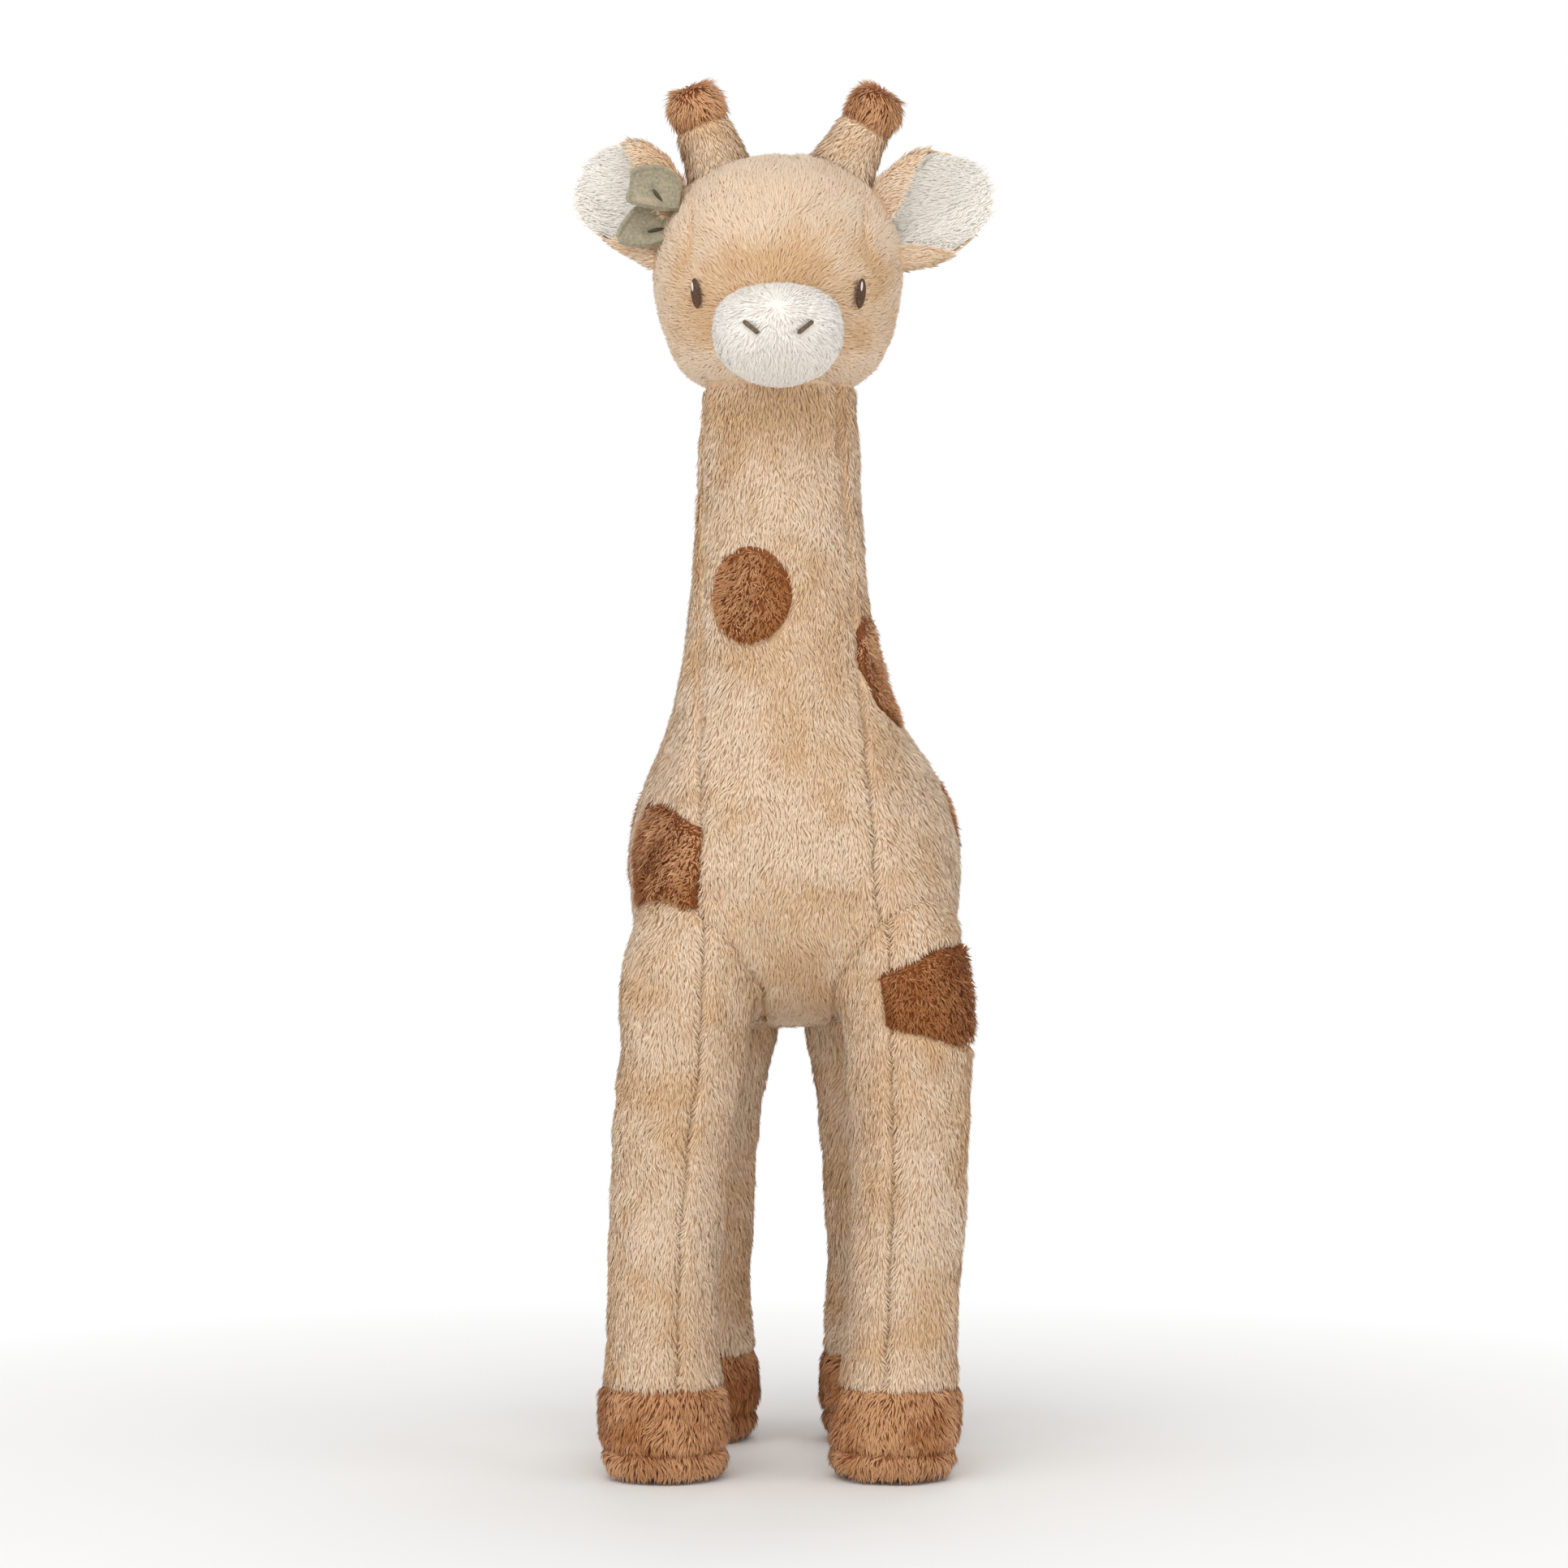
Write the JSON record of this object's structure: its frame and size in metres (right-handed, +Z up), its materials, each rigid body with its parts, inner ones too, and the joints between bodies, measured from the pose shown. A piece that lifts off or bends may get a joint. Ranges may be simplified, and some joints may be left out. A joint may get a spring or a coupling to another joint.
{
  "type": "plush giraffe",
  "caption": "Standing stuffed giraffe with a long neck, round head, plush horns, cupped ears, felt leaves and brown hooves and patches.",
  "frame": {"origin": "middle of the floor under the toy's bounding box", "axes": "+Z up, the face looks along -Y, the giraffe's own left is +X"},
  "size_m": [0.1584, 0.1832, 0.5003],
  "materials": {
    "beige_plush": "short laid polyester pile, warm beige",
    "brown_plush": "short laid polyester pile, caramel brown",
    "cream_plush": "short laid polyester pile, cream white",
    "sage_felt": "pressed felt, sage green",
    "brown_thread": "embroidery thread, dark brown",
    "fibre_filling": "loose polyester fibre, white"
  },
  "bodies": {
    "trunk": {"chest_and_belly_panel": "beige_plush", "side_panel_left": "beige_plush", "side_panel_right": "beige_plush", "body_filling": "fibre_filling", "neck_filling": "fibre_filling", "neck_spot_front": "brown_plush", "neck_spot_left": "brown_plush", "neck_spot_back": "brown_plush", "shoulder_spot_right": "brown_plush", "flank_spot_right": "brown_plush", "flank_spot_left": "brown_plush", "rump_spot": "brown_plush", "thigh_spot_left": "brown_plush", "front_left_leg_outer_panel": "beige_plush", "front_left_leg_inner_panel": "beige_plush", "front_left_leg_hoof": "brown_plush", "front_left_leg_sole": "brown_plush", "front_left_leg_filling": "fibre_filling", "front_right_leg_outer_panel": "beige_plush", "front_right_leg_inner_panel": "beige_plush", "front_right_leg_hoof": "brown_plush", "front_right_leg_sole": "brown_plush", "front_right_leg_filling": "fibre_filling", "rear_left_leg_outer_panel": "beige_plush", "rear_left_leg_inner_panel": "beige_plush", "rear_left_leg_hoof": "brown_plush", "rear_left_leg_sole": "brown_plush", "rear_left_leg_filling": "fibre_filling", "rear_right_leg_outer_panel": "beige_plush", "rear_right_leg_inner_panel": "beige_plush", "rear_right_leg_hoof": "brown_plush", "rear_right_leg_sole": "brown_plush", "rear_right_leg_filling": "fibre_filling"},
    "neck_seam": {"neck_seam_thread": "brown_thread"},
    "head": {"head_crown_panel": "beige_plush", "head_side_panel_left": "beige_plush", "head_side_panel_right": "beige_plush", "head_filling": "fibre_filling", "muzzle_cover": "cream_plush", "muzzle_filling": "fibre_filling", "eye_left": "brown_thread", "eye_right": "brown_thread", "nostril_left": "brown_thread", "nostril_right": "brown_thread", "horn_cover_left": "beige_plush", "horn_tip_left": "brown_plush", "horn_filling_left": "fibre_filling", "horn_cover_right": "beige_plush", "horn_tip_right": "brown_plush", "horn_filling_right": "fibre_filling"},
    "ear_left": {"ear_back_left": "beige_plush", "ear_lining_left": "cream_plush"},
    "ear_right": {"ear_back_right": "beige_plush", "ear_lining_right": "cream_plush"},
    "leaf_upper": {"leaf_upper": "sage_felt", "leaf_vein_upper": "brown_thread"},
    "leaf_lower": {"leaf_lower": "sage_felt", "leaf_vein_lower": "brown_thread"},
    "tail": {"tail_cover": "beige_plush", "tail_tuft": "brown_plush"}
  },
  "joints": [
    {"name": "head_turn", "type": "hinge", "parent": "trunk", "child": "neck_seam", "pos_m": [0, -0.0231, 0.437], "axis": [0, 0, 1], "range_deg": [-20, 20], "stiffness_Nm_per_rad": 0.3},
    {"name": "head_nod", "type": "hinge", "parent": "neck_seam", "child": "head", "pos_m": [0, -0.0231, 0.437], "axis": [1, 0, 0], "range_deg": [-10, 6], "stiffness_Nm_per_rad": 0.3},
    {"name": "ear_left_swing", "type": "hinge", "parent": "head", "child": "ear_left", "pos_m": [0.03956, -0.0221, 0.44899], "axis": [-0.342, 0, 0.9397], "range_deg": [-20, 25], "stiffness_Nm_per_rad": 0.01},
    {"name": "ear_right_swing", "type": "hinge", "parent": "head", "child": "ear_right", "pos_m": [-0.03956, -0.0221, 0.44899], "axis": [-0.342, 0, -0.9397], "range_deg": [-20, 25], "stiffness_Nm_per_rad": 0.01},
    {"name": "leaf_upper_lift", "type": "hinge", "parent": "ear_right", "child": "leaf_upper", "pos_m": [-0.04203, -0.0294, 0.4568], "axis": [0.6018, 0, 0.7986], "range_deg": [0, 35], "stiffness_Nm_per_rad": 0.001},
    {"name": "leaf_lower_lift", "type": "hinge", "parent": "ear_right", "child": "leaf_lower", "pos_m": [-0.04528, -0.0274, 0.44787], "axis": [-0.2924, 0, 0.9563], "range_deg": [0, 35], "stiffness_Nm_per_rad": 0.001},
    {"name": "tail_swing", "type": "hinge", "parent": "trunk", "child": "tail", "pos_m": [0.006, 0.0831, 0.224], "axis": [1, 0, 0], "range_deg": [0, 80]}
  ]
}
